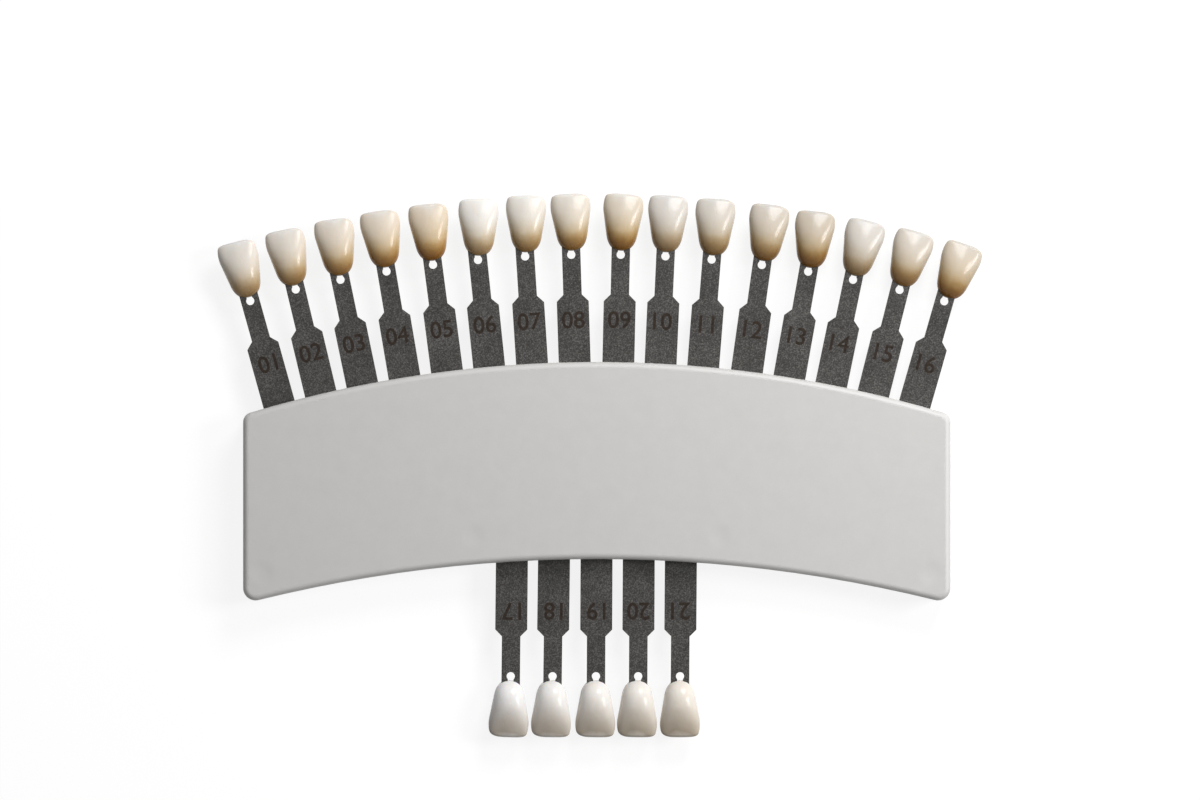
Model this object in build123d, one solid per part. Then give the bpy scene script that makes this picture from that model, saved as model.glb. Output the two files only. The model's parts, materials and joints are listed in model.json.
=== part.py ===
from build123d import *
import math
import os

# Dental shade guide, in millimetres, lying on its back.
# X runs along the arc-shaped holder, Y up its face, Z out of its front.
# The origin is on the back face, at the middle of the holder.

# Steel tab: one blanked strip with a wide grip, a narrow neck and a forked tip
STRIP_WIDTH = 6.4
STRIP_THICKNESS = 0.8
NECK_WIDTH = 3.7
NECK_LENGTH = 8.0           # from the shoulders to the middle of the relief hole
RELIEF_HOLE_RADIUS = 0.83
FORK_SLOT_WIDTH = 1.15
UPPER_STAND_OUT = 12.2      # how much of the wide grip shows above the holder

# Tooth-shaped shade sample, an upper central incisor, bonded on the fork
TOOTH_LENGTH = 11.4
TOOTH_WIDTH = 7.9
TOOTH_NECK_WIDTH = 4.3      # where the rounded gum end begins
TOOTH_NECK_AT = 1.0         # distance of that place from the gum end
TOOTH_WAIST_WIDTH = 6.2
TOOTH_WAIST_AT = 3.4
TOOTH_WIDEST_AT = 8.4
TOOTH_EDGE_WIDTH = 7.6      # along the biting edge, before its corners are rounded
TOOTH_MESIAL_RADIUS = 0.9
TOOTH_DISTAL_RADIUS = 1.5
TOOTH_HEIGHT = 4.1          # from the flat back to the crest of the front face
TOOTH_CREST_AT = 4.4
TOOTH_CREST_RADIUS = 7.5    # of the front face, across the tooth
TOOTH_GUM_FALL = 2.0        # from the crest to the front of the gum end
TOOTH_EDGE_FALL = 1.2       # from the crest to the biting edge
TOOTH_EDGE_THICKNESS = 1.4
TOOTH_WALL_PAST_FORK = 0.6
TOOTH_HOLLOW_BOW = 0.65     # depth of the hollow back at its middle, as a share of that at the edge
TOOTH_BACK_BELOW_STRIP = 0.9
TOOTH_START = 0.8           # gum end of the tooth beyond the middle of the relief hole
FORK_DEPTH = 5.4            # of the fork in the tooth
# Centre line of the tooth's front: shares of the way and the rise from gum end to crest, and then
# shares of the way and the fall from crest to biting edge
TOOTH_GUM_CURVE = [(0, 0), (0.16, 0.42), (0.5, 0.81), (1, 1)]
TOOTH_EDGE_CURVE = [(0.5, 0.3), (1, 1)]
FRONT_FACETS = 7            # across the front of the tooth
CORNER_FACETS = 3           # round a corner of its outline

# Holder: two moulded covers
UPPER_ARC_RADIUS = 242.1
LOWER_ARC_RADIUS = 282.9
END_MARGIN = 7.1            # from the middle of the last upper slot to the holder's end
UPPER_CORNER_RADIUS = 2.0
LOWER_CORNER_RADIUS = 2.5
HOLDER_THICKNESS = 8.0
PARTING_HEIGHT = 3.5        # of the joint between the covers, above the back face
FACE_WALL = 1.6
RIM_WALL = 1.6
FRONT_EDGE_RADIUS = 1.2
BACK_EDGE_BEVEL = 0.6

# Slots and what guides the tabs behind them
UPPER_COUNT = 16
LOWER_COUNT = 5
UPPER_DEPTH = 18.0          # how far an upper tab goes in, down to its stop
LOWER_DEPTH = 16.0
SLOT_PLAY = 0.2             # on each side of a strip
STRIP_LIFT = 0.1            # of the strips above the parting plane
SLOT_HEADROOM = 0.05        # above a strip
RIB_WALL = 1.14             # between two pockets, at their inner ends
UPPER_TOOTH_GAP = 1.3       # least gap between two teeth of the upper row
LOWER_TOOTH_GAP = 0.56
STOP_GAP = 0.1
STOP_WALL = 1.2
SPACE_BETWEEN_STOPS = 2.8
GUIDE_WALL = 1.2
GUIDE_FROM_STOP = 4.0

# Posts of the back cover, pressed into bosses of the front cover
POST_WIDTH = 2.2            # posts and bosses are square
POST_CLEARANCE = 0.02
POST_TIP_GAP = 0.4
BOSS_WALL = 1.1
OUTER_POST_INSET = 3.85     # from the holder's end
OUTER_POST_RISE = 5.3       # above the lower edge there
INNER_POST_MARGIN = 4.3     # from the last lower pocket
INNER_POST_RISE = 5.8

# Leaf-spring combs of thin steel, clipped on the back cover
LEAF_THICKNESS = 0.25
LEAF_BAND_WIDTH = 3.0
LEAF_FINGER_WIDTH = 2.6
LEAF_FINGER_LENGTH = 6.5
LEAF_TOE_LENGTH = 1.2
LEAF_TOE_DROP = 0.5
LEAF_GAP = 0.05             # between a finger's crest and its strip
LEAF_FROM_STOP = 2.0        # of the band from the pocket's inner end
CLIP_WIDTH = 3.0            # of the hooks that hold a comb's band
CLIP_WALL = 1.0
CLIP_LIP = 0.6              # how far a hook reaches over the band
CLIP_CLEARANCE = 0.05

# How each tab sits, from left to right as seen from the front: its lean is a share of what
# the play in its slot allows, and its tooth is bonded on with a small shift and turn by hand
UPPER_LEAN = [0.3, 0.2, 0.45, 0.4, 0.3, 0.7, 0.5, 0.65, -0.2, 0.35, 0.45, -0.7, -0.75, -0.45, -0.75, -0.6]
LOWER_LEAN = [-0.4, -0.5, -0.2, -0.2, -0.3]
UPPER_TOOTH_SHIFT = [0, -0.1, 0.1, 0, 0, 0.3, 0.3, 0.3, 0, 0.1, 0.3, 0.3, 0.3, 0.1, 0.1, 0.4]
UPPER_TOOTH_TURN = [-1, -2, -4, -2, -2, -5, -3, 1, -2, 0, 2, 1, 4, -2, -2, -3]
LOWER_TOOTH_SHIFT = [0.2, 0.2, 0.1, 0.2, 0.1]
LOWER_TOOTH_TURN = [-1, 0, 0, 0, 1]

# Heights above the back face
STRIP_BACK_Z = PARTING_HEIGHT + STRIP_LIFT
STRIP_FRONT_Z = STRIP_BACK_Z + STRIP_THICKNESS
SLOT_TOP_Z = STRIP_FRONT_Z + SLOT_HEADROOM
FRONT_PLATE_Z = HOLDER_THICKNESS - FACE_WALL

# Places along a tab, from the inner end of its strip
GRIP_LENGTH = UPPER_DEPTH + UPPER_STAND_OUT
SHOULDER_LENGTH = (STRIP_WIDTH - NECK_WIDTH) / 2
HOLE_AT = GRIP_LENGTH + SHOULDER_LENGTH + NECK_LENGTH
TOOTH_AT = HOLE_AT + TOOTH_START
FORK_END = TOOTH_AT + FORK_DEPTH

# The holder is as high as the two rows of tabs and their stops need
HOLDER_HEIGHT = UPPER_DEPTH + LOWER_DEPTH + 2 * (STOP_GAP + STOP_WALL) + SPACE_BETWEEN_STOPS
UPPER_CENTRE_Y = HOLDER_HEIGHT / 2 - UPPER_ARC_RADIUS
LOWER_CENTRE_Y = -HOLDER_HEIGHT / 2 - LOWER_ARC_RADIUS

# The pitch is what the pockets need at their inner ends, or what the teeth need, if that is more
POCKET_WIDTH = STRIP_WIDTH + 2 * SLOT_PLAY
TOOTH_ROW_RADIUS = UPPER_ARC_RADIUS - UPPER_DEPTH + TOOTH_AT + TOOTH_WIDEST_AT
UPPER_PITCH = math.degrees(max((POCKET_WIDTH + RIB_WALL) / (UPPER_ARC_RADIUS - UPPER_DEPTH),
                               (TOOTH_WIDTH + UPPER_TOOTH_GAP) / TOOTH_ROW_RADIUS))
LOWER_PITCH = max(TOOTH_WIDTH + LOWER_TOOTH_GAP, POCKET_WIDTH + RIB_WALL)
FAN_HALF_ANGLE = UPPER_PITCH * (UPPER_COUNT - 1) / 2
LOWER_HALF_ROW = LOWER_PITCH * (LOWER_COUNT - 1) / 2
HOLDER_HALF_LENGTH = UPPER_ARC_RADIUS * math.sin(math.radians(FAN_HALF_ANGLE)) + END_MARGIN


def upper_edge_y(x):
    """Height of the holder's upper edge at x."""
    return UPPER_CENTRE_Y + math.sqrt(UPPER_ARC_RADIUS ** 2 - x ** 2)


def lower_edge_y(x):
    """Height of the holder's lower edge at x."""
    return LOWER_CENTRE_Y + math.sqrt(LOWER_ARC_RADIUS ** 2 - x ** 2)


POST_PLACES = []
for side in (-1, 1):
    outer_x = HOLDER_HALF_LENGTH - OUTER_POST_INSET
    inner_x = LOWER_HALF_ROW + POCKET_WIDTH / 2 + INNER_POST_MARGIN
    POST_PLACES.append((side * outer_x, lower_edge_y(outer_x) + OUTER_POST_RISE))
    POST_PLACES.append((side * inner_x, lower_edge_y(inner_x) + INNER_POST_RISE))

UP = (Align.CENTER, Align.CENTER, Align.MIN)


def box_between(x0, x1, y0, y1, z0, z1):
    """A block given by its low and high faces."""
    block = Box(x1 - x0, y1 - y0, z1 - z0)
    return Pos((x0 + x1) / 2, (y0 + y1) / 2, (z0 + z1) / 2) * block


def upper_frame(angle):
    """Place on the upper edge, turned so that Y points out of the slot."""
    return Pos(0, UPPER_CENTRE_Y, 0) * Rot(Z=angle) * Pos(0, UPPER_ARC_RADIUS, 0)


def lower_frame(x):
    """Place at the lower row's mouth line, turned so that Y points out of the slot."""
    return Pos(x, -HOLDER_HEIGHT / 2, 0) * Rot(Z=180)


def upper_angle(index):
    """Angle of an upper slot, counted from the left."""
    return UPPER_PITCH * ((UPPER_COUNT - 1) / 2 - index)


def lower_x(index):
    """Place of a lower slot along X, counted from the left."""
    return LOWER_PITCH * (index - (LOWER_COUNT - 1) / 2)


def leaned(mouth, depth, share):
    """Place of a tab's inner end: it leans about the middle of its slot by a share of the play."""
    lean = share * math.degrees(math.atan(SLOT_PLAY / (depth / 2)))
    return mouth * Pos(0, -depth / 2, 0) * Rot(Z=lean) * Pos(0, -depth / 2, 0)


def tab_places():
    """Each tab's place, tooth shift and tooth turn: the upper row first, then the lower one."""
    places = []
    for i in range(UPPER_COUNT):
        k = i % len(UPPER_LEAN)
        place = leaned(upper_frame(upper_angle(i)), UPPER_DEPTH, UPPER_LEAN[k])
        places.append((place, UPPER_TOOTH_SHIFT[k], UPPER_TOOTH_TURN[k]))
    for i in range(LOWER_COUNT):
        k = i % len(LOWER_LEAN)
        place = leaned(lower_frame(lower_x(i)), LOWER_DEPTH, LOWER_LEAN[k])
        places.append((place, LOWER_TOOTH_SHIFT[k], LOWER_TOOTH_TURN[k]))
    return places


def strip():
    """One blanked strip, with its inner end at the origin and its fork along +Y."""
    grip = STRIP_WIDTH / 2
    neck = NECK_WIDTH / 2
    neck_start = GRIP_LENGTH + SHOULDER_LENGTH
    with BuildSketch() as outline:
        with BuildLine():
            Polyline((-grip, 0), (grip, 0), (grip, GRIP_LENGTH), (neck, neck_start), (neck, FORK_END),
                     (-neck, FORK_END), (-neck, neck_start), (-grip, GRIP_LENGTH), (-grip, 0))
        make_face()
        with Locations((0, HOLE_AT)):
            Circle(RELIEF_HOLE_RADIUS, mode=Mode.SUBTRACT)
        with Locations((0, (HOLE_AT + FORK_END) / 2)):
            Rectangle(FORK_SLOT_WIDTH, FORK_END - HOLE_AT, mode=Mode.SUBTRACT)
    return Pos(0, 0, STRIP_BACK_Z) * extrude(outline.sketch, STRIP_THICKNESS)


def quarter(x, y, reach_x, reach_y, start):
    """Points along a quarter of an ellipse about x, y, counter-clockwise from an angle."""
    angles = [math.radians(start + 90 * k / CORNER_FACETS) for k in range(CORNER_FACETS + 1)]
    return [(x + reach_x * math.cos(a), y + reach_y * math.sin(a)) for a in angles]


def tooth_outline():
    """Front outline of the tooth, from the gum end at the origin to the biting edge along +Y."""
    neck = TOOTH_NECK_WIDTH / 2
    waist = TOOTH_WAIST_WIDTH / 2
    half = TOOTH_WIDTH / 2
    edge = TOOTH_EDGE_WIDTH / 2
    right = TOOTH_DISTAL_RADIUS
    left = TOOTH_MESIAL_RADIUS
    points = quarter(0, TOOTH_NECK_AT, neck, TOOTH_NECK_AT, 270)
    points += [(waist, TOOTH_WAIST_AT), (half, TOOTH_WIDEST_AT)]
    points += quarter(edge - right, TOOTH_LENGTH - right, right, right, 0)
    points += quarter(left - edge, TOOTH_LENGTH - left, left, left, 90)
    points += [(-half, TOOTH_WIDEST_AT), (-waist, TOOTH_WAIST_AT)]
    points += quarter(0, TOOTH_NECK_AT, neck, TOOTH_NECK_AT, 180)
    with BuildSketch() as outline:
        with BuildLine():
            Polyline(*points[:-1], close=True)
        make_face()
    return outline.sketch


def tooth_front():
    """What lies behind the tooth's front: its centre line, swung about an axis far behind the tooth.

    It falls from its crest towards the gum end, the biting edge and both sides, in flat facets."""
    crest = TOOTH_CREST_AT
    beyond = TOOTH_LENGTH - TOOTH_CREST_AT
    gum_z = TOOTH_HEIGHT - TOOTH_GUM_FALL
    axis_z = TOOTH_HEIGHT - TOOTH_CREST_RADIUS
    line = [(crest * way, gum_z + TOOTH_GUM_FALL * rise) for way, rise in TOOTH_GUM_CURVE]
    line += [(crest + beyond * way, TOOTH_HEIGHT - TOOTH_EDGE_FALL * fall) for way, fall in TOOTH_EDGE_CURVE]
    base_z = axis_z - TOOTH_HEIGHT
    with BuildSketch(Plane.YZ) as side_view:
        with BuildLine():
            Polyline((0, base_z), *line, (TOOTH_LENGTH, base_z), close=True)
        make_face()
    block = extrude(side_view.sketch, TOOTH_WIDTH, both=True)
    swing = math.degrees(math.asin(TOOTH_WIDTH / 2 / TOOTH_CREST_RADIUS))
    front = block
    for k in range(FRONT_FACETS):
        angle = swing * (2 * k / (FRONT_FACETS - 1) - 1)
        front &= Pos(0, 0, axis_z) * Rot(Y=angle) * Pos(0, 0, -axis_z) * block
    return front


def tooth():
    """The tooth with its gum end at the origin, its back at Z 0 and its front face up."""
    # The back is flat where the fork goes in, and slopes off behind the biting edge
    hollow_start = FORK_DEPTH + TOOTH_WALL_PAST_FORK
    edge_depth = TOOTH_HEIGHT - TOOTH_EDGE_FALL - TOOTH_EDGE_THICKNESS
    middle = (hollow_start + TOOTH_LENGTH) / 2
    with BuildSketch(Plane.YZ) as hollow:
        with BuildLine():
            Polyline((hollow_start, 0), (middle, edge_depth * TOOTH_HOLLOW_BOW), (TOOTH_LENGTH, edge_depth),
                     (TOOTH_LENGTH, 0), close=True)
        make_face()
    body = extrude(tooth_outline(), TOOTH_HEIGHT) & tooth_front()
    return body - extrude(hollow.sketch, TOOTH_WIDTH, both=True)


def holder_outline(inset):
    """Outline of the holder: two arcs, two straight ends and rounded corners, moved inwards by inset."""
    x = HOLDER_HALF_LENGTH
    with BuildSketch() as outline:
        with BuildLine():
            ThreePointArc((-x, upper_edge_y(x)), (0, upper_edge_y(0)), (x, upper_edge_y(x)))
            Line((x, upper_edge_y(x)), (x, lower_edge_y(x)))
            ThreePointArc((x, lower_edge_y(x)), (0, lower_edge_y(0)), (-x, lower_edge_y(x)))
            Line((-x, lower_edge_y(x)), (-x, upper_edge_y(x)))
        make_face()
        middle_y = (upper_edge_y(x) + lower_edge_y(x)) / 2
        fillet(outline.vertices().filter_by(lambda v: v.Y > middle_y), UPPER_CORNER_RADIUS)
        fillet(outline.vertices().filter_by(lambda v: v.Y < middle_y), LOWER_CORNER_RADIUS)
        if inset:
            offset(amount=-inset, kind=Kind.INTERSECTION)
    return outline.sketch


def slab(inset, z0, z1):
    """The holder's outline, inset, as a block between two heights."""
    return Pos(0, 0, z0) * extrude(holder_outline(inset), z1 - z0)


def upper_wall(depth, thickness, z0, z1):
    """A wall across all the upper pockets, in straight pieces, from a depth inwards."""
    half = (UPPER_ARC_RADIUS - depth) * math.tan(math.radians(UPPER_PITCH / 2))
    piece = box_between(-half, half, -depth - thickness, -depth, z0, z1)
    return [upper_frame(upper_angle(i)) * piece for i in range(UPPER_COUNT)]


def lower_wall(depth, thickness, z0, z1):
    """A wall across all the lower pockets, from a depth inwards."""
    half = LOWER_HALF_ROW + LOWER_PITCH / 2
    return [lower_frame(0) * box_between(-half, half, -depth - thickness, -depth, z0, z1)]


def slot_cutters():
    """A block for each slot through the rim, as wide as a strip and its play."""
    cutters = []
    mouth = RIM_WALL * 2
    block = box_between(-POCKET_WIDTH / 2, POCKET_WIDTH / 2, -mouth, mouth, 0, SLOT_TOP_Z)
    for i in range(UPPER_COUNT):
        cutters.append(upper_frame(upper_angle(i)) * block)
    for i in range(LOWER_COUNT):
        cutters.append(lower_frame(lower_x(i)) * block)
    return cutters


def pocket_ribs():
    """Ribs that guide the strips sideways, on both sides of each pocket."""
    ribs = []
    z0 = PARTING_HEIGHT
    z1 = FRONT_PLATE_Z
    upper_rib = box_between(-RIB_WALL / 2, RIB_WALL / 2, -UPPER_DEPTH - STOP_GAP, 0, z0, z1)
    for i in range(UPPER_COUNT + 1):
        ribs.append(upper_frame(upper_angle(i - 0.5)) * upper_rib)
    lower_wall = LOWER_PITCH - POCKET_WIDTH
    lower_rib = box_between(-lower_wall / 2, lower_wall / 2, -LOWER_DEPTH - STOP_GAP, RIM_WALL, z0, z1)
    for i in range(LOWER_COUNT + 1):
        ribs.append(lower_frame(lower_x(i - 0.5)) * lower_rib)
    return ribs


def stops_and_guides():
    """Walls that the strips end at, and bridges that hold them down against the springs."""
    walls = []
    for wall, depth in ((upper_wall, UPPER_DEPTH), (lower_wall, LOWER_DEPTH)):
        walls += wall(depth + STOP_GAP, STOP_WALL, PARTING_HEIGHT, FRONT_PLATE_Z)
        walls += wall(depth - GUIDE_FROM_STOP, GUIDE_WALL, SLOT_TOP_Z, FRONT_PLATE_Z)
    return walls


def front_cover():
    """The face, its rim with the slots, and the ribs, stops and bosses behind it."""
    cover = slab(0, PARTING_HEIGHT, HOLDER_THICKNESS)
    cover = fillet(cover.faces().sort_by(Axis.Z)[-1].edges(), FRONT_EDGE_RADIUS)
    cover -= slab(RIM_WALL, PARTING_HEIGHT, FRONT_PLATE_Z)
    boss_height = FRONT_PLATE_Z - PARTING_HEIGHT
    socket_width = POST_WIDTH + 2 * POST_CLEARANCE
    boss_width = socket_width + 2 * BOSS_WALL
    boss = Box(boss_width, boss_width, boss_height, align=UP)
    socket = Box(socket_width, socket_width, boss_height, align=UP)
    inside = pocket_ribs() + stops_and_guides()
    inside += [Pos(x, y, PARTING_HEIGHT) * boss for x, y in POST_PLACES]
    cover += (Part() + inside) & slab(RIM_WALL / 2, PARTING_HEIGHT, FRONT_PLATE_Z)
    cover -= [Pos(x, y, PARTING_HEIGHT) * socket for x, y in POST_PLACES]
    return cover - slot_cutters()


def leaf_finger():
    """One spring finger: it rises from the band at Y 0 to its crest under the strip."""
    rise = STRIP_BACK_Z - LEAF_GAP - LEAF_THICKNESS - FACE_WALL
    toe_y = LEAF_FINGER_LENGTH + LEAF_TOE_LENGTH
    t = LEAF_THICKNESS
    with BuildSketch(Plane.YZ) as side_view:
        with BuildLine():
            Polyline((-t, 0), (0, 0), (LEAF_FINGER_LENGTH, rise), (toe_y, rise - LEAF_TOE_DROP),
                     (toe_y, rise - LEAF_TOE_DROP + t), (LEAF_FINGER_LENGTH, rise + t), (0, t), (-t, t), (-t, 0))
        make_face()
    return Pos(0, 0, FACE_WALL) * extrude(side_view.sketch, LEAF_FINGER_WIDTH / 2, both=True)


UPPER_BAND_DEPTH = UPPER_DEPTH - LEAF_FROM_STOP - LEAF_BAND_WIDTH
LOWER_BAND_DEPTH = LOWER_DEPTH - LEAF_FROM_STOP - LEAF_BAND_WIDTH


def upper_spring_comb():
    """A band across the upper pockets, with one finger under each strip."""
    comb = upper_wall(UPPER_BAND_DEPTH, LEAF_BAND_WIDTH, FACE_WALL, FACE_WALL + LEAF_THICKNESS)
    for i in range(UPPER_COUNT):
        comb.append(upper_frame(upper_angle(i)) * Pos(0, -UPPER_BAND_DEPTH, 0) * leaf_finger())
    return Part() + comb


def lower_spring_comb():
    """A band across the lower pockets, with one finger under each strip."""
    comb = lower_wall(LOWER_BAND_DEPTH, LEAF_BAND_WIDTH, FACE_WALL, FACE_WALL + LEAF_THICKNESS)
    for i in range(LOWER_COUNT):
        comb.append(lower_frame(lower_x(i)) * Pos(0, -LOWER_BAND_DEPTH, 0) * leaf_finger())
    return Part() + comb


def clip():
    """A moulded hook over the inner edge of a comb's band, which lies from Y 0 inwards."""
    edge = -LEAF_BAND_WIDTH - CLIP_CLEARANCE
    over = FACE_WALL + LEAF_THICKNESS + CLIP_CLEARANCE
    half = CLIP_WIDTH / 2
    post = box_between(-half, half, edge - CLIP_WALL, edge, FACE_WALL, over)
    lip = box_between(-half, half, edge - CLIP_WALL, edge + CLIP_LIP, over, over + CLIP_LIP)
    return post + lip


def clips():
    """The hooks: three for the upper comb and two for the lower one."""
    hooks = []
    for i in (1, (UPPER_COUNT - 1) // 2, UPPER_COUNT - 2):
        hooks.append(upper_frame(upper_angle(i)) * Pos(0, -UPPER_BAND_DEPTH, 0) * clip())
    for i in (0, LOWER_COUNT - 1):
        hooks.append(lower_frame(lower_x(i)) * Pos(0, -LOWER_BAND_DEPTH, 0) * clip())
    return hooks


def back_cover():
    """The flat back, its rim, the posts that press into the front cover and the spring hooks."""
    cover = slab(0, 0, PARTING_HEIGHT)
    cover = chamfer(cover.faces().sort_by(Axis.Z)[0].edges(), BACK_EDGE_BEVEL)
    cover -= slab(RIM_WALL, FACE_WALL, PARTING_HEIGHT)
    post = Box(POST_WIDTH, POST_WIDTH, FRONT_PLATE_Z - POST_TIP_GAP - FACE_WALL, align=UP)
    posts = [Pos(x, y, FACE_WALL) * post for x, y in POST_PLACES]
    return cover + posts + clips()


def write(name, shape):
    """Write one sub-part under its own name."""
    export_step(shape, f"parts/{name}.step")


os.makedirs("parts", exist_ok=True)
write("front_cover", front_cover())
write("back_cover", back_cover())
write("upper_spring_comb", upper_spring_comb())
write("lower_spring_comb", lower_spring_comb())
one_strip = strip()
one_tooth = tooth()
for number, (place, shift, turn) in enumerate(tab_places(), 1):
    seat = Pos(shift, TOOTH_AT, STRIP_BACK_Z - TOOTH_BACK_BELOW_STRIP) * Rot(Z=turn)
    write(f"tab_strip_{number:02d}", place * one_strip)
    write(f"shade_tooth_{number:02d}", place * (seat * one_tooth - one_strip))
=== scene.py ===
import json

import bpy
import numpy as np
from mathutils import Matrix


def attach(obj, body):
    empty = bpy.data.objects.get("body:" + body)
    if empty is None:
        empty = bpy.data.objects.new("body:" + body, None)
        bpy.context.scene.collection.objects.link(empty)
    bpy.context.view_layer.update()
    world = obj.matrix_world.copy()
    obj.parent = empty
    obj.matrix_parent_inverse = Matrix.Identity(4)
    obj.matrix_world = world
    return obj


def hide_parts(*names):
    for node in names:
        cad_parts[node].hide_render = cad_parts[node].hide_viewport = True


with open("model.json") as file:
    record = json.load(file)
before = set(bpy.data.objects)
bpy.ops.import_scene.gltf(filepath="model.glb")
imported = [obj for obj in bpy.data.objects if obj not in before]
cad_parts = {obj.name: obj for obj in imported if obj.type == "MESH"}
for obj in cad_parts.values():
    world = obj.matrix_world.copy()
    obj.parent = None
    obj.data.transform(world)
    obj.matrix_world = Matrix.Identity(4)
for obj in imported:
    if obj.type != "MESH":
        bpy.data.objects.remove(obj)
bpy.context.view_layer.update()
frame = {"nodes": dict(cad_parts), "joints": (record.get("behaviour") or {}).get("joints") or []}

nodes = frame["nodes"]
scene = bpy.context.scene
scene.view_settings.view_transform = "Standard"


# ---- Camera ----
# The guide lies on its back and is photographed straight from above, from far enough away that
# the fanned tabs show no perspective. The picture's middle is a little above the holder.

VIEW_WIDTH = 0.240          # what the frame's width covers at the height of the tabs
VIEW_MIDDLE = (0.00065, 0.0121)
CAMERA_DISTANCE = 1.0
TAB_HEIGHT = 0.006

lens = bpy.data.cameras.new("view_from_above")
lens.sensor_width = 36
lens.lens = 36 * CAMERA_DISTANCE / VIEW_WIDTH
lens.clip_end = 20
camera = bpy.data.objects.new("view_from_above", lens)
camera.location = (*VIEW_MIDDLE, TAB_HEIGHT + CAMERA_DISTANCE)
scene.collection.objects.link(camera)
scene.camera = camera


# ---- Holder: front and back cover ----
# Two injection-moulded covers in light warm grey plastic with a fine satin spark-eroded finish,
# pressed together on four posts. Where the posts' bosses stand, the face has faint sink marks.

FACE_HEIGHT = 0.008         # of the holder's face above the table
SINK_MARKS = [(-0.0668, -0.0224), (-0.0246, -0.0150), (0.0246, -0.0150), (0.0668, -0.0224)]
SINK_RADIUS = 0.0032
SINK_DEPTH = 0.00008
PARTING_HEIGHT = 0.0035     # where the covers meet
PARTING_GROOVE = 0.0002     # half the width of the fine groove there, and its depth
GRAIN_DEPTH = 0.00002


def node_tools(tree):
    """Two functions for a node tree: join gives a node's socket a value or a link, and add makes a
    new node with its sockets joined. A socket goes by its name, with _ for a space, or by its
    place, as in0."""

    def join(node, key, value):
        socket = node.inputs[int(key[2:]) if key.startswith("in") else key.replace("_", " ")]
        if isinstance(value, bpy.types.NodeSocket):
            tree.links.new(value, socket)
        else:
            socket.default_value = value

    def add(kind, settings=(), **inputs):
        node = tree.nodes.new("ShaderNode" + kind)
        for key, value in dict(settings).items():
            setattr(node, key, value)
        for key, value in inputs.items():
            join(node, key, value)
        return node

    return add, join


def new_finish(name):
    """An empty node material, its shader, and the add and join functions of its tree."""
    finish = bpy.data.materials.new(name)
    finish.use_nodes = True
    shader = next(n for n in finish.node_tree.nodes if n.type == "BSDF_PRINCIPLED")
    return finish, shader, *node_tools(finish.node_tree)


def ramp(add, factor, stops):
    """A colour ramp node: stops are pairs of a place from 0 to 1 and a colour."""
    node = add("ValToRGB", in0=factor)
    line = node.color_ramp
    while len(line.elements) < len(stops):
        line.elements.new(0.5)
    for element, (place, colour) in zip(line.elements, stops):
        element.position = place
        element.color = (*colour, 1)
    return node.outputs["Color"]


def dress(node, finish):
    """Give a CAD node one finish."""
    mesh = nodes[node].data
    mesh.materials.clear()
    mesh.materials.append(finish)


def moulded_plastic():
    """Satin grey plastic: faint clouds in the colour, a fine grain, shallow dips over the bosses
    and a fine groove where the two covers meet."""
    finish, shader, add, join = new_finish("holder_satin_plastic")
    place = add("TexCoord").outputs["Object"]
    clouds = add("TexNoise", Vector=place, Scale=260.0, Detail=6.0, Roughness=0.7)
    colour = ramp(add, clouds.outputs["Fac"], [(0.3, (0.572, 0.563, 0.551)),
                                               (0.7, (0.596, 0.587, 0.575))])
    join(shader, "Base_Color", colour)
    gloss = add("MapRange", Value=clouds.outputs["Fac"], To_Min=0.42, To_Max=0.52)
    join(shader, "Roughness", gloss.outputs[0])
    grain = add("TexNoise", Vector=place, Scale=6000.0, Detail=3.0, Roughness=0.6)
    dips = None
    for x, y in SINK_MARKS:
        apart = add("VectorMath", {"operation": "DISTANCE"}, in0=place, in1=(x, y, FACE_HEIGHT))
        dip = add("MapRange", {"interpolation_type": "SMOOTHERSTEP"}, Value=apart.outputs["Value"],
                  From_Min=SINK_RADIUS, From_Max=0.0, To_Min=0.0, To_Max=1.0).outputs[0]
        dips = dip if dips is None else add("Math", in0=dips, in1=dip).outputs[0]
    hollow = add("Bump", {"invert": True}, Strength=1.0, Distance=SINK_DEPTH, Height=dips)
    height = add("SeparateXYZ", Vector=place).outputs["Z"]
    off = add("Math", {"operation": "SUBTRACT"}, in0=height, in1=PARTING_HEIGHT).outputs[0]
    off = add("Math", {"operation": "ABSOLUTE"}, in0=off).outputs[0]
    groove = add("MapRange", {"interpolation_type": "SMOOTHSTEP"}, Value=off,
                 From_Min=PARTING_GROOVE, From_Max=0.0, To_Min=0.0, To_Max=1.0).outputs[0]
    parted = add("Bump", {"invert": True}, Strength=1.0, Distance=PARTING_GROOVE, Height=groove,
                 Normal=hollow.outputs["Normal"])
    rough = add("Bump", Strength=0.25, Distance=GRAIN_DEPTH, Height=grain.outputs["Fac"],
                Normal=parted.outputs["Normal"])
    join(shader, "Normal", rough.outputs["Normal"])
    return finish


plastic = moulded_plastic()
dress("front_cover", plastic)
dress("back_cover", plastic)


# ---- Leaf-spring combs ----
# Two combs of thin spring steel lie clipped inside the back cover, one under each row of tabs.
# Each finger presses on one tab. They are rolled sheet, bluish grey with fine rolling lines.

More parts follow.
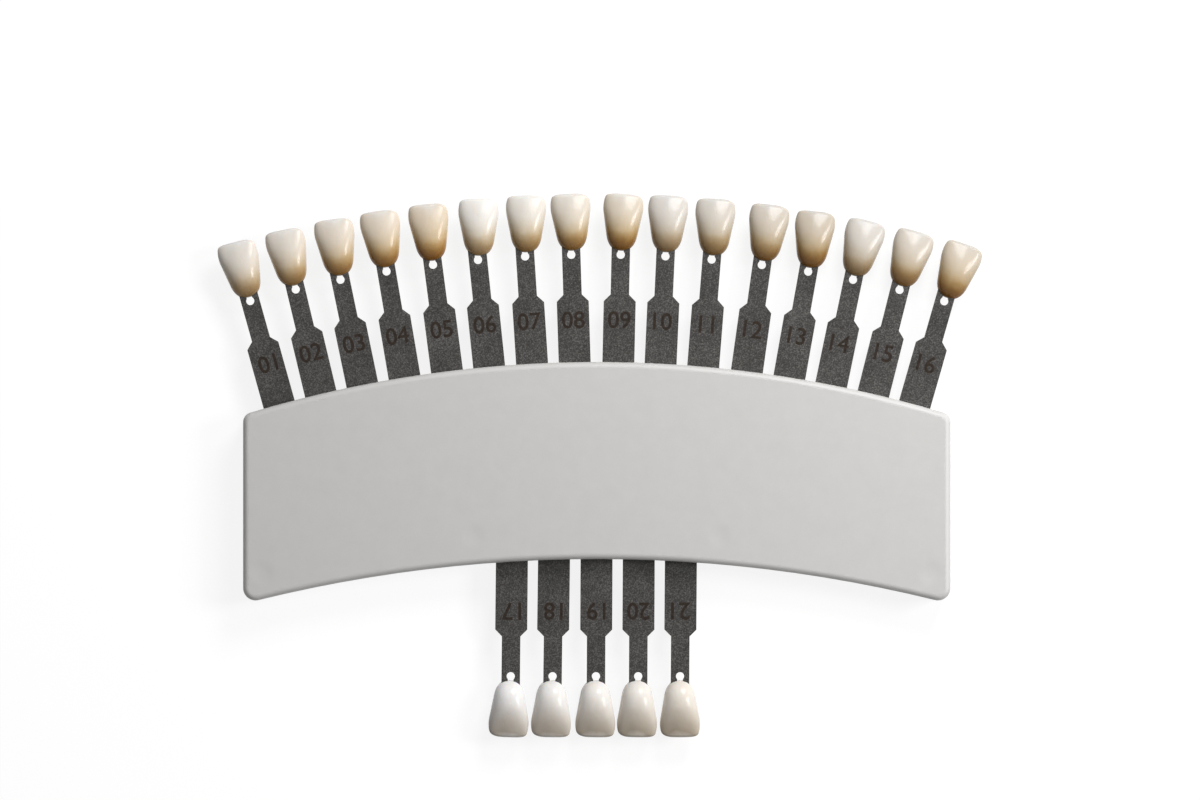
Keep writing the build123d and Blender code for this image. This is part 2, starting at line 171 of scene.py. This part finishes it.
def rolled_spring_steel():
    """Bright cold-rolled strip: fine streaks along the band in its gloss and colour."""
    finish, shader, add, join = new_finish("rolled_spring_steel")
    place = add("TexCoord").outputs["Object"]
    along = add("Mapping", Vector=place, Scale=(1.0, 25.0, 1.0))
    streaks = add("TexNoise", Vector=along.outputs["Vector"], Scale=400.0, Detail=5.0,
                  Roughness=0.7)
    colour = ramp(add, streaks.outputs["Fac"], [(0.3, (0.42, 0.43, 0.45)),
                                                (0.7, (0.56, 0.57, 0.59))])
    join(shader, "Base_Color", colour)
    join(shader, "Metallic", 1.0)
    gloss = add("MapRange", Value=streaks.outputs["Fac"], To_Min=0.22, To_Max=0.4)
    join(shader, "Roughness", gloss.outputs[0])
    lines = add("Bump", Strength=0.3, Distance=0.00001, Height=streaks.outputs["Fac"])
    join(shader, "Normal", lines.outputs["Normal"])
    return finish


spring_steel = rolled_spring_steel()
dress("upper_spring_comb", spring_steel)
dress("lower_spring_comb", spring_steel)


# ---- Tab strips ----
# 21 strips blanked out of 0.8 mm stainless sheet and bead-blasted to a dull, speckled dark grey.
# The narrow neck ends in a fork with a round relief hole, and the sample is bonded on the fork.

def blasted_steel():
    """Dark bead-blasted steel: grains of two sizes in colour and gloss, over a slow tarnish."""
    finish, shader, add, join = new_finish("blasted_tab_steel")
    place = add("TexCoord").outputs["Object"]
    grain = add("TexNoise", Vector=place, Scale=3800.0, Detail=2.0, Roughness=0.7).outputs["Fac"]
    coarse = add("TexNoise", Vector=place, Scale=1300.0, Detail=3.0, Roughness=0.6).outputs["Fac"]
    tarnish = add("TexNoise", Vector=place, Scale=150.0, Detail=3.0, Roughness=0.5).outputs["Fac"]
    some = add("Math", {"operation": "MULTIPLY_ADD"}, in0=coarse, in1=0.25, in2=grain).outputs[0]
    both = add("Math", {"operation": "MULTIPLY_ADD"}, in0=tarnish, in1=0.2, in2=some).outputs[0]
    colour = ramp(add, both, [(0.50, (0.029, 0.0282, 0.0268)), (0.74, (0.064, 0.062, 0.0588)),
                              (0.92, (0.145, 0.140, 0.133))])
    join(shader, "Base_Color", colour)
    join(shader, "Metallic", 0.15)
    join(shader, "Specular_IOR_Level", 0.1)
    gloss = add("MapRange", Value=grain, From_Min=0.3, From_Max=0.7, To_Min=0.42, To_Max=0.6)
    join(shader, "Roughness", gloss.outputs[0])
    pits = add("Bump", Strength=0.5, Distance=0.00003, Height=some)
    join(shader, "Normal", pits.outputs["Normal"])
    return finish


tab_steel = blasted_steel()
tabs = sorted(name[-2:] for name in nodes if name.startswith("tab_strip_"))
for number in tabs:
    dress("tab_strip_" + number, tab_steel)


# ---- Numbers on the strips ----
# Each tab carries its running number, marked by laser: a thin brown-black oxide line on the steel.
# It stands upright as seen with the sample on top, so in the holder the lower row reads upside
# down.

NUMBER_HEIGHT = 0.0034      # of a figure
NUMBER_WIDENING = 0.98      # of a figure's width against the font's
STROKE_GROWTH = 0.00006     # how far the laser's line widens a figure's outline
NUMBER_FROM_FORK_END = 0.01925
MARK_STANDS_PROUD = 0.000012
PATTERN_SIZE = 0.01         # of the text before it is scaled to the figures' height


def tab_direction(number):
    """The way a tab pulls out of its slot, from its joint, and the direction across it."""
    joint = next(j for j in frame["joints"] if j["name"] == f"tab_{number}_pull")
    along = np.array(joint["axis"], float)
    along /= np.linalg.norm(along)
    return along, np.array([along[1], -along[0], 0.0])


def points_of(node):
    """A CAD node's vertices."""
    mesh = nodes[node].data
    points = np.empty(len(mesh.vertices) * 3)
    mesh.vertices.foreach_get("co", points)
    return points.reshape(-1, 3)


def widened(mesh, flat, growth):
    """A flat figure's vertices, each on its outline moved outwards. An outline edge is one that no
    other face runs along the other way, and its outward normal is its direction turned
    clockwise."""
    corners = np.empty(len(mesh.loops), dtype=np.int64)
    mesh.loops.foreach_get("vertex_index", corners)
    starts = np.empty(len(mesh.polygons), dtype=np.int64)
    mesh.polygons.foreach_get("loop_start", starts)
    following = np.arange(1, len(corners) + 1)
    following[np.append(starts[1:], len(corners)) - 1] = starts
    first, second = corners, corners[following]
    outline = ~np.isin(first * len(flat) + second, second * len(flat) + first)
    first, second = first[outline], second[outline]
    run = flat[second] - flat[first]
    run /= np.linalg.norm(run, axis=1, keepdims=True)
    normal = np.stack([run[:, 1], -run[:, 0], 0 * run[:, 0]], -1)
    push = np.zeros_like(flat)
    np.add.at(push, first, normal)
    np.add.at(push, second, normal)
    size = np.linalg.norm(push, axis=1, keepdims=True)
    return flat + growth * push / np.maximum(size, 1e-9)


def laser_oxide():
    """Brown-black oxide of a laser mark, a little uneven along its strokes."""
    finish, shader, add, join = new_finish("laser_oxide_mark")
    place = add("TexCoord").outputs["Object"]
    uneven = add("TexNoise", Vector=place, Scale=1800.0, Detail=3.0, Roughness=0.6)
    colour = ramp(add, uneven.outputs["Fac"], [(0.3, (0.012, 0.008, 0.006)),
                                               (0.7, (0.036, 0.025, 0.017))])
    join(shader, "Base_Color", colour)
    join(shader, "Specular_IOR_Level", 0.15)
    gloss = add("MapRange", Value=uneven.outputs["Fac"], To_Min=0.5, To_Max=0.75)
    join(shader, "Roughness", gloss.outputs[0])
    return finish


oxide = laser_oxide()
for number in tabs:
    along, across = tab_direction(number)
    strip = points_of("tab_strip_" + number)
    figures = bpy.data.curves.new("number_" + number, "FONT")
    figures.body = number
    figures.size = PATTERN_SIZE
    figures.align_x = "CENTER"
    figures.resolution_u = 3
    pattern = bpy.data.objects.new("pattern", figures)
    scene.collection.objects.link(pattern)
    mark_mesh = bpy.data.meshes.new_from_object(pattern)
    bpy.data.objects.remove(pattern)
    flat = np.empty(len(mark_mesh.vertices) * 3)
    mark_mesh.vertices.foreach_get("co", flat)
    flat = flat.reshape(-1, 3)
    flat[:, :2] -= (flat[:, :2].min(0) + flat[:, :2].max(0)) / 2
    flat *= NUMBER_HEIGHT / np.ptp(flat[:, 1])
    flat = widened(mark_mesh, flat, STROKE_GROWTH)
    middle = across * (strip @ across).min() / 2 + across * (strip @ across).max() / 2
    middle = middle + along * ((strip @ along).max() - NUMBER_FROM_FORK_END)
    middle[2] = strip[:, 2].max() + MARK_STANDS_PROUD
    placed = middle + flat[:, :1] * NUMBER_WIDENING * across + flat[:, 1:2] * along
    mark_mesh.vertices.foreach_set("co", placed.ravel())
    mark_mesh.update()
    mark_mesh.materials.clear()
    mark_mesh.materials.append(oxide)
    mark = bpy.data.objects.new("number_" + number, mark_mesh)
    scene.collection.objects.link(mark)
    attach(mark, "tab_" + number)


# ---- Shade samples ----
# 21 pressed and fired ceramic samples, each an upper central incisor with a D-shaped section and a
# glazed face. In the upper row the gum end is darker, partly stain and partly painted shade, and
# the biting end paler and more glassy; in the bleached lower row the biting edge is darker, partly
# clearer ceramic and partly painted shade, and the gum end has painted light. Each is bonded on the
# fork of its tab.

TOOTH_LENGTH = 11.4         # this and the next ones in millimetres
HALF_WIDTH_AT_GUM = 2.55    # of the tapering body, before its ends are rounded
TAPER = 0.18                # gain of half width for each millimetre along the tooth
NARROWING = 0.0736          # loss of it by the square of the way past NARROWS_FROM
NARROWS_FROM = 7.5
GUM_CAP = 3.2               # length over which the outline of the gum end rounds off
GUM_SLOPE = 4.2             # and the front face there
LEFT_CORNER = (1.25, 4.4)   # reach back from the biting edge, and the superellipse's power
RIGHT_CORNER = (1.75, 3.4)
THIN_EDGE = (0.55, 2.2)
GUM_ROUNDNESS = 2.6         # powers of the superellipses of the gum end, the front and the back
FRONT_ROUNDNESS = 2.4
BACK_ROUNDNESS = 3.6
SLOPE_ROUNDNESS = 2.2       # and of the side view's two ends
CREST_FROM_GUM = 5.2        # where the front is highest
CREST_HEIGHT = 4.1
FALL_TO_EDGE = (1.6, 1.6)   # of the front line from its crest, and the power of its way
FALL_TO_GUM = (1.1, 2.2)
FLANK_AT_GUM = 1.1          # height of the widest line above the flat back
FLANK_AT_EDGE = 1.95
CROWN = 0.12                # share of the front's height that is lost at the flanks
LOBE_HEIGHT = 0.025
LOBE_TURNS = 7.2            # radians of the lobes' wave from the middle to a flank
HOLLOW_FROM = 5.6           # where the back leaves the flat
HOLLOW_DEPTH = 1.5          # behind the biting edge
HOLLOW_POWER = 1.15
AROUND = 96                 # points in a row
POLE = 0.03                 # angle left open at each end, where a fan of triangles closes it
MAP_WIDTH = 8               # what the UV map covers across the tooth


def tooth_rows():
    """Angles of the rows: 0 to 1 through the gum cap, 1 to 2 along the body, and 2 to 3 over the
    biting edge."""
    gum = 1 - np.cos(np.linspace(POLE, np.pi / 2, 22))
    body = np.linspace(1, 2, 30)[1:-1]
    edge = 2 + np.sin(np.linspace(0, np.pi / 2 - POLE, 26))
    return np.concatenate([gum, body, edge])


def tooth_surface():
    """Points of an upper central incisor in millimetres, rows from the gum end to the biting edge.

    Each row is a D: a superellipse whose front half is crowned and whose back half is flatter. Its
    half width is a taper that narrows again by the square of the way near the edge, times a
    superelliptic closing at the gum end and a squarer one at the biting edge, with the right
    corner rounder than the left. The front line rises from the gum end to a crest and falls to the
    biting edge, both as powers of the way from the crest. Shallow lobes, a cosine across the
    front, run down to the edge. The back is flat and then slopes forward behind the edge, as a
    power of the way."""
    row = tooth_rows()[:, None]
    turn = np.linspace(0, 2 * np.pi, AROUND, endpoint=False)[None, :]
    cosine, sine = np.cos(turn), np.sin(turn)
    front = sine >= 0
    power = np.where(front, 2 / FRONT_ROUNDNESS, 2 / BACK_ROUNDNESS)
    side = np.sign(cosine) * np.abs(cosine) ** power
    lift = np.sign(sine) * np.abs(sine) ** power

    # Each point of a row has a mix of its corner's rounding and that of the thin edge between them
    share = np.abs(side) ** 4
    corner, squareness = (share * np.where(side < 0, left, right) + (1 - share) * thin
                          for left, right, thin in zip(LEFT_CORNER, RIGHT_CORNER, THIN_EDGE))

    gum_angle = np.clip(row, 0, 1) * np.pi / 2
    edge_angle = np.clip(row - 2, 0, 1) * np.pi / 2
    body_y = GUM_CAP + (TOOTH_LENGTH - corner - GUM_CAP) * np.clip(row - 1, 0, 1)
    y = body_y - GUM_CAP * np.cos(gum_angle) ** (2 / GUM_ROUNDNESS) * (row < 1)
    y = y + corner * np.sin(edge_angle) ** (2 / squareness)
    close_x = np.sin(gum_angle) ** (2 / GUM_ROUNDNESS) * np.cos(edge_angle) ** (2 / squareness)
    to_slope = np.clip(1 - y / GUM_SLOPE, 0, 1)
    close_z = (1 - to_slope ** SLOPE_ROUNDNESS) ** (1 / SLOPE_ROUNDNESS)
    close_z = close_z * np.cos(edge_angle) ** (2 / SLOPE_ROUNDNESS)

    half = HALF_WIDTH_AT_GUM + TAPER * y - NARROWING * np.clip(y - NARROWS_FROM, 0, None) ** 2
    x = half * close_x * side
    reach = y / TOOTH_LENGTH
    flank = FLANK_AT_GUM + (FLANK_AT_EDGE - FLANK_AT_GUM) * reach ** 3
    above = np.clip(y - CREST_FROM_GUM, 0, None) / (TOOTH_LENGTH - CREST_FROM_GUM)
    below = np.clip(CREST_FROM_GUM - y, 0, None) / CREST_FROM_GUM
    crest = CREST_HEIGHT - FALL_TO_EDGE[0] * above ** FALL_TO_EDGE[1]
    crest = crest - FALL_TO_GUM[0] * below ** FALL_TO_GUM[1]
    into_hollow = np.clip((y - HOLLOW_FROM) / (TOOTH_LENGTH - HOLLOW_FROM), 0, 1)
    hollow = HOLLOW_DEPTH * into_hollow ** HOLLOW_POWER
    crown = 1 - CROWN * side ** 2
    lobes = LOBE_HEIGHT * np.cos(side * LOBE_TURNS) * np.clip(reach * 1.6 - 0.3, 0, 1)
    z_front = flank + (crest - flank) * crown * lift * close_z + lobes * lift * close_z
    z_back = flank + (flank - hollow) * lift * close_z
    z = np.where(front, z_front, z_back)
    return np.stack([x, y + 0 * x, z], -1)


def closed_mesh(name, rows):
    """Quads between the rows, and a fan of triangles to one point at each end."""
    count, around = rows.shape[:2]
    ends = np.array([rows[0].mean(0), rows[-1].mean(0)])
    points = np.concatenate([rows.reshape(-1, 3), ends])
    r, c = np.meshgrid(np.arange(count - 1), np.arange(around), indexing="ij")
    nxt = (c + 1) % around
    quads = np.stack([r * around + c, (r + 1) * around + c,
                      (r + 1) * around + nxt, r * around + nxt], -1).reshape(-1, 4)
    c = np.arange(around)
    nxt = (c + 1) % around
    last = (count - 1) * around
    start = np.stack([np.full(around, count * around), c, nxt], -1)
    finish = np.stack([np.full(around, count * around + 1), last + nxt, last + c], -1)
    mesh = bpy.data.meshes.new(name)
    mesh.from_pydata(points.tolist(), [], quads.tolist() + start.tolist() + finish.tolist())
    mesh.polygons.foreach_set("use_smooth", [True] * len(mesh.polygons))
    return mesh, points


def front_view_map(mesh, points):
    """UV map seen from the front: 0 to 1 across the tooth, and 0 to 1 along it from gum to edge."""
    layer = mesh.uv_layers.new(name="front_view")
    index = np.empty(len(mesh.loops), dtype=np.int32)
    mesh.loops.foreach_get("vertex_index", index)
    flat = np.stack([points[:, 0] / MAP_WIDTH + 0.5, points[:, 1] / TOOTH_LENGTH], -1)
    layer.data.foreach_set("uv", flat[index].ravel().astype(np.float32))


def seat_of(node, outwards):
    """Where a sample sits, from its solid: its direction is the normal of the flat biting-edge
    face, the largest triangle that faces that way, its gum end and its middle are those of the
    solid, and its back is the solid's lowest point."""
    mesh = nodes[node].data
    normals = np.empty(len(mesh.polygons) * 3)
    areas = np.empty(len(mesh.polygons))
    mesh.polygons.foreach_get("normal", normals)
    mesh.polygons.foreach_get("area", areas)
    normals = normals.reshape(-1, 3)
    facing = (normals @ outwards > 0.9) & (np.abs(normals[:, 2]) < 0.02)
    along = normals[np.argmax(areas * facing)]
    along[2] = 0
    along /= np.linalg.norm(along)
    across = np.array([along[1], -along[0], 0.0])
    points = points_of(node)
    side = points @ across
    origin = across * (side.min() + side.max()) / 2 + along * (points @ along).min()
    origin[2] = points[:, 2].min()
    return origin, across, along


# The upper row has four families, each from its palest to its deepest sample: how many samples,
# the body colour at both ends, and the enamel's level against the body's lightest channel. The
# lower row is one family of bleached samples, clearer and darker at the biting edge, partly painted
# shade.
FAMILIES = [("reddish_brown", 5, (0.73, 0.675, 0.605), (0.67, 0.565, 0.435), 1.15),
            ("reddish_yellow", 4, (0.755, 0.72, 0.672), (0.62, 0.542, 0.438), 1.12),
            ("grey", 4, (0.61, 0.571, 0.522), (0.51, 0.44, 0.35), 1.03),
            ("reddish_grey", 3, (0.57, 0.53, 0.48), (0.55, 0.475, 0.38), 0.93),
            ("bleached", 5, (0.82, 0.80, 0.78), (0.77, 0.715, 0.64), None)]
# One coat of the tint laid on towards the gum end, for the palest and the deepest sample of a
# family: partly a stain fired on, partly painted shade on the gum end, which faces away from the
# lamps. The coats, and the shares below, stand at places in millimetres from the gum end.
GUM_STAIN_AND_SHADE_TINTS = ((0.928, 0.888, 0.82), (0.908, 0.843, 0.715))
GUM_STAIN_AND_SHADE_COATS = [(0.6, 9.0), (1.2, 8.5), (2.0, 6.5), (3.0, 4.0),
             (4.0, 2.0), (5.0, 1.0), (6.2, 0.35), (7.2, 0.0)]
# Bleached samples grow clearer, so darker, towards the biting edge, partly painted shade on the end
# that faces away from the lamps; the coat below zero lightens the gum end, painted light there
CLEARING_AND_SHADE_TINT = (0.925, 0.912, 0.893)
CLEARING_LIGHT_AND_SHADE_COATS = [(2.0, -0.7), (4.0, 0.0), (6.0, 2.0), (8.0, 4.6), (10.0, 7.0), (10.9, 3.0)]
# The share of whitish enamel in the upper row's samples, and its colour at level 1
ENAMEL = [(8.2, 0.05), (9.2, 0.15), (10.2, 0.32), (10.9, 0.6)]
ENAMEL_WHITE = (1.0, 0.995, 0.98)


def family_colours():
    """Colours along each sample, family by family: its body colour and its tint lie between those
    of the family's palest and deepest samples."""
    colours = []
    for family, count, palest, deepest, enamel in FAMILIES:
        for way in np.linspace(0, 1, count):
            body = (1 - way) * np.array(palest) + way * np.array(deepest)
            tint = (1 - way) * np.array(GUM_STAIN_AND_SHADE_TINTS[0]) + way * np.array(GUM_STAIN_AND_SHADE_TINTS[1])
            colours.append(sample_stops(body, tint, enamel))
    return colours


def sample_stops(body, tint, enamel):
    """Colours along a sample, from the gum end. A bleached one is its body times the clear tint
    once
    for each coat of it: the darkening is partly clearer ceramic and partly painted shade, and the
    coat below zero is painted light. Any other is its body times the gum tint once for each coat of
    it, partly stain and partly painted shade, and towards the biting edge a mix with an enamel at
    its level of the body's lightest channel."""
    if enamel is None:
        return [(at / TOOTH_LENGTH, body * np.array(CLEARING_AND_SHADE_TINT) ** coat)
                for at, coat in CLEARING_LIGHT_AND_SHADE_COATS]
    stops = [(at / TOOTH_LENGTH, body * tint ** coat) for at, coat in GUM_STAIN_AND_SHADE_COATS]
    pale = enamel * body.max() * np.array(ENAMEL_WHITE)
    return stops + [(at / TOOTH_LENGTH, body * (1 - share) + pale * share) for at, share in ENAMEL]


# The bow follows the rounded gum end, but its middle stands right of the centre, so the gum end's
# colours reach further up the left flank: in the upper row that is painted shade on the side away
# from the lamps.
BOW_MIDDLE = 0.54           # across the UV map, where the bands of colour reach furthest
BOW = -0.6                  # how far they fall back, by the square of the way aside
DRIFT = 0.14                # how far faint clouds push them up or down, in all


def fired_ceramic(number, stops):
    """Glazed dental ceramic: colours along the sample that bow down at its flanks, further on the
    left flank, where in the upper row that is painted shade, faint clouds, and a softly rippled
    glaze."""
    finish, shader, add, join = new_finish("fired_ceramic_" + number)
    view = add("UVMap", {"uv_map": "front_view"}).outputs["UV"]
    split = add("SeparateXYZ", Vector=view)
    aside = add("Math", {"operation": "SUBTRACT"},
                in0=split.outputs["X"], in1=BOW_MIDDLE).outputs[0]
    bow = add("Math", {"operation": "MULTIPLY"}, in0=aside, in1=aside).outputs[0]
    along = add("Math", {"operation": "MULTIPLY_ADD"},
                in0=bow, in1=BOW, in2=split.outputs["Y"]).outputs[0]
    place = add("TexCoord").outputs["Object"]
    clouds = add("TexNoise", Vector=place, Scale=420.0, Detail=3.0, Roughness=0.55)
    drift = add("Math", {"operation": "MULTIPLY_ADD"},
                in0=clouds.outputs["Fac"], in1=DRIFT, in2=along)
    level = add("Math", {"operation": "SUBTRACT"}, in0=drift.outputs[0], in1=DRIFT / 2)
    join(shader, "Base_Color", ramp(add, level.outputs[0], stops))
    join(shader, "Roughness", 0.2)
    join(shader, "Specular_IOR_Level", 0.22)
    join(shader, "Subsurface_Weight", 0.25)
    join(shader, "Subsurface_Radius", (0.9, 0.6, 0.4))
    join(shader, "Subsurface_Scale", 0.0008)
    waves = add("TexNoise", Vector=place, Scale=900.0, Detail=2.0, Roughness=0.5)
    ripple = add("Bump", Strength=0.35, Distance=0.00006, Height=waves.outputs["Fac"])
    join(shader, "Normal", ripple.outputs["Normal"])
    return finish


tooth_points = tooth_surface()
for number, stops in zip(tabs, family_colours()):
    along, across = tab_direction(number)
    origin, across, along = seat_of("shade_tooth_" + number, along)
    sample_mesh, flat_points = closed_mesh("ceramic_sample_" + number, tooth_points)
    front_view_map(sample_mesh, flat_points)
    grown = flat_points / 1000
    placed = (origin + grown[:, :1] * across + grown[:, 1:2] * along
              + grown[:, 2:] * np.array([0, 0, 1.0]))
    sample_mesh.vertices.foreach_set("co", placed.ravel())
    sample_mesh.update()
    sample_mesh.materials.append(fired_ceramic(number, stops))
    sample = bpy.data.objects.new("ceramic_sample_" + number, sample_mesh)
    scene.collection.objects.link(sample)
    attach(sample, "tab_" + number)
    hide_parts("shade_tooth_" + number)


# ---- Table and light ----
# The guide lies on a white table. Two soft boxes stand near it, one above and one to the right, so
# the left end is a little dimmer. The table shows white but keeps a faint shadow of the guide.

TABLE_REACH = 9             # from the middle to an edge
SOFT_BOXES = [("soft_box_above", (0.135, 0.302, 0.259), 0.16, 1.17),    # place, side and watts
              ("soft_box_right", (0.504, 0.089, 0.400), 0.20, 2.35)]

corners = [(-TABLE_REACH, -TABLE_REACH, 0), (TABLE_REACH, -TABLE_REACH, 0),
           (TABLE_REACH, TABLE_REACH, 0), (-TABLE_REACH, TABLE_REACH, 0)]
table_mesh = bpy.data.meshes.new("white_table")
table_mesh.from_pydata(corners, [], [(0, 1, 2, 3)])
table = bpy.data.objects.new("white_table", table_mesh)
scene.collection.objects.link(table)


def seen_rays(add):
    """1 for the rays that see the background straight, in a reflection or through glass, else 0."""
    rays = add("LightPath")
    seen = add("Math", {"operation": "MAXIMUM"}, in0=rays.outputs["Is Camera Ray"],
               in1=rays.outputs["Is Glossy Ray"]).outputs[0]
    return add("Math", {"operation": "MAXIMUM"}, in0=seen,
               in1=rays.outputs["Is Transmission Ray"]).outputs[0]


def white_sheet():
    """White table: matt to the light that bounces off it, and lifted to white where it is seen."""
    finish, shader, add, join = new_finish("white_sheet")
    seen = seen_rays(add)
    tone = add("MapRange", Value=seen, To_Min=0.55, To_Max=0.2).outputs[0]
    join(shader, "Base_Color", add("CombineColor", Red=tone, Green=tone, Blue=tone).outputs[0])
    join(shader, "Roughness", 0.9)
    join(shader, "Specular_IOR_Level", 0.0)
    join(shader, "Emission_Color", (1, 1, 1, 1))
    glow = add("MapRange", Value=seen, To_Min=0.0, To_Max=0.86).outputs[0]
    join(shader, "Emission_Strength", glow)
    return finish


table_mesh.materials.append(white_sheet())

room = bpy.data.worlds.new("pale_room")
scene.world = room
room.use_nodes = True
background = next(n for n in room.node_tree.nodes if n.type == "BACKGROUND")
add, join = node_tools(room.node_tree)
join(background, "Color", (1, 1, 1, 1))
level = add("MapRange", Value=seen_rays(add), To_Min=0.2, To_Max=1.0)
join(background, "Strength", level.outputs[0])

for name, place, side, watts in SOFT_BOXES:
    lamp = bpy.data.lights.new(name, "AREA")
    lamp.shape = "SQUARE"
    lamp.size = side
    lamp.energy = watts
    box = bpy.data.objects.new(name, lamp)
    box.location = place
    box.rotation_euler = box.location.normalized().to_track_quat("Z", "Y").to_euler()
    box.visible_camera = False
    scene.collection.objects.link(box)
